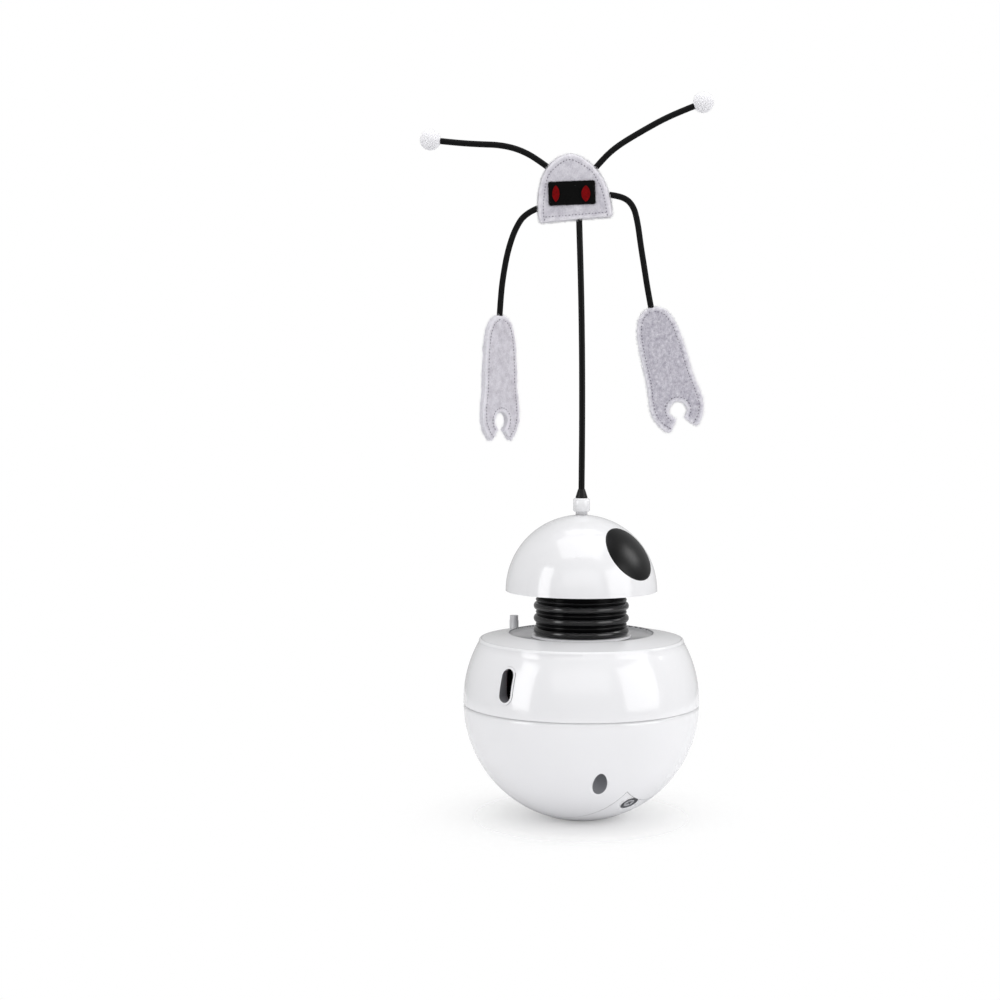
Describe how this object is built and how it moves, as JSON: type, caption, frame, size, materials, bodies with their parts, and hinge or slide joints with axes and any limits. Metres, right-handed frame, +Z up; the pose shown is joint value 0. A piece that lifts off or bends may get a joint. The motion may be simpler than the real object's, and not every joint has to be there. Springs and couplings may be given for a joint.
{
  "type": "automatic cat laser toy",
  "caption": "Round weighted cat toy with a tilting laser, a turning domed head on a ribbed rubber neck and a spring wand carrying a felt robot.",
  "frame": {"origin": "centre of the small flat under the body that the toy stands on", "axes": "+Z up along the body's axis, -Y towards the viewer of the picture, +X to the viewer's right; the laser slot faces left of -Y"},
  "size_m": [0.1288, 0.105, 0.3208],
  "materials": {
    "shell": "high gloss white moulding",
    "grey_plastic": "light grey moulding",
    "black_plastic": "black moulding",
    "lens_black": "polished black",
    "bellows_rubber": "glossy black rubber",
    "felt_grey": "grey wool felt",
    "felt_black": "black felt",
    "felt_red": "dark red felt",
    "cord_black": "black waxed cord",
    "pom_white": "white wool felt",
    "wand_black": "black sleeve over spring wire",
    "steel": "bright steel",
    "spring_steel": "nickel plated spring wire",
    "brass": "turned brass",
    "bronze": "sintered bronze",
    "gear_nylon": "natural nylon",
    "chassis_plastic": "dark grey ABS",
    "board_green": "glass fibre board",
    "component": "moulded component cases",
    "cell_wrap": "plain dark sleeve",
    "lens_clear": "clear lens"
  },
  "bodies": {
    "body": {"lower_shell": "shell", "upper_shell": "shell", "deck_cover": "shell", "slot_bezel": "shell", "shell_screws": "steel", "battery_box": "chassis_plastic", "batteries": "cell_wrap", "contact_plates": "spring_steel", "contact_springs": "spring_steel", "ballast_front": "steel", "ballast_rear": "steel", "control_board": "board_green", "board_components": "component", "board_screws": "steel", "drive_chassis": "chassis_plastic", "chassis_screws": "steel", "drive_motor": "steel", "motor_screws": "steel", "idler_axle": "steel", "upper_bush": "bronze", "lower_bush": "bronze", "laser_bracket": "chassis_plastic", "power_switch": "component", "button_spring": "spring_steel"},
    "door": {"battery_door": "shell"},
    "door_screw": {"door_screw": "steel"},
    "pinion": {"motor_shaft": "steel", "motor_pinion": "gear_nylon"},
    "idler": {"idler_gear": "gear_nylon"},
    "turntable": {"output_gear": "gear_nylon", "spindle": "steel", "spindle_clip": "spring_steel", "turntable": "black_plastic", "turntable_screw": "steel", "neck_bellows": "bellows_rubber"},
    "head": {"head_base": "shell", "head_dome": "shell", "head_screws": "steel", "eye_lens": "lens_black", "wand_collar": "shell", "collar_nut": "steel"},
    "wand_plug": {"wand_plug": "black_plastic"},
    "robot": {"wand_rod": "wand_black", "felt_head_front": "felt_grey", "felt_head_back": "felt_grey", "eye_band": "felt_black", "red_eyes": "felt_red", "antenna_left": "cord_black", "antenna_right": "cord_black", "pom_left": "pom_white", "pom_right": "pom_white"},
    "arm_left": {"arm_cord_left": "cord_black", "claw_left": "felt_grey"},
    "arm_right": {"arm_cord_right": "cord_black", "claw_right": "felt_grey"},
    "laser": {"laser_barrel": "brass", "laser_lens": "lens_clear", "laser_cradle": "chassis_plastic"},
    "button": {"power_button": "grey_plastic"}
  },
  "joints": [
    {"name": "head_spin", "type": "hinge", "parent": "body", "child": "turntable", "pos_m": [0, 0, 0.08234], "axis": [0, 0, 1], "continuous": true},
    {"name": "idler_spin", "type": "hinge", "parent": "body", "child": "idler", "pos_m": [0.0108, 0.01871, 0.062], "axis": [0, 0, 1], "continuous": true},
    {"name": "pinion_spin", "type": "hinge", "parent": "body", "child": "pinion", "pos_m": [0.02162, 0.01246, 0.061], "axis": [0, 0, 1], "continuous": true},
    {"name": "head_nod", "type": "hinge", "parent": "turntable", "child": "head", "pos_m": [0, 0, 0.09234], "axis": [1, 0, 0], "range_deg": [-6, 6], "stiffness_Nm_per_rad": 0.9, "deforming": ["neck_bellows"]},
    {"name": "wand_pull", "type": "slide", "parent": "head", "child": "wand_plug", "axis": [0, 0, 1], "range_m": [0, 0.009]},
    {"name": "wand_sway", "type": "hinge", "parent": "wand_plug", "child": "robot", "pos_m": [0, 0, 0.14694], "axis": [1, 0, 0], "range_deg": [-10, 10], "stiffness_Nm_per_rad": 0.25, "deforming": ["wand_rod"]},
    {"name": "arm_left_swing", "type": "hinge", "parent": "robot", "child": "arm_left", "pos_m": [-0.0195, 0, 0.2707], "axis": [1, 0, 0], "range_deg": [-60, 60]},
    {"name": "arm_right_swing", "type": "hinge", "parent": "robot", "child": "arm_right", "pos_m": [0.0118, 0, 0.2764], "axis": [1, 0, 0], "range_deg": [-60, 60]},
    {"name": "laser_tilt", "type": "hinge", "parent": "body", "child": "laser", "pos_m": [-0.02116, -0.02661, 0.0695], "axis": [0.7826, -0.6225, 0], "range_deg": [-12, 12]},
    {"name": "button_press", "type": "slide", "parent": "body", "child": "button", "axis": [0, 0, -1], "range_m": [0, 0.0018], "stiffness_N_per_m": 60, "springref_m": -0.0005, "deforming": ["button_spring"]},
    {"name": "door_release", "type": "slide", "parent": "body", "child": "door", "axis": [0, 0, -1], "range_m": [0, 0.02]},
    {"name": "door_screw_turn", "type": "hinge", "parent": "door", "child": "door_screw", "pos_m": [0.021, -0.02759, 0.0123], "axis": [-0.4001, 0.5255, 0.7508], "continuous": true}
  ],
  "couplings": [
    {"joint": "idler_spin", "follows": "head_spin", "ratio": -5},
    {"joint": "pinion_spin", "follows": "head_spin", "ratio": 20}
  ]
}
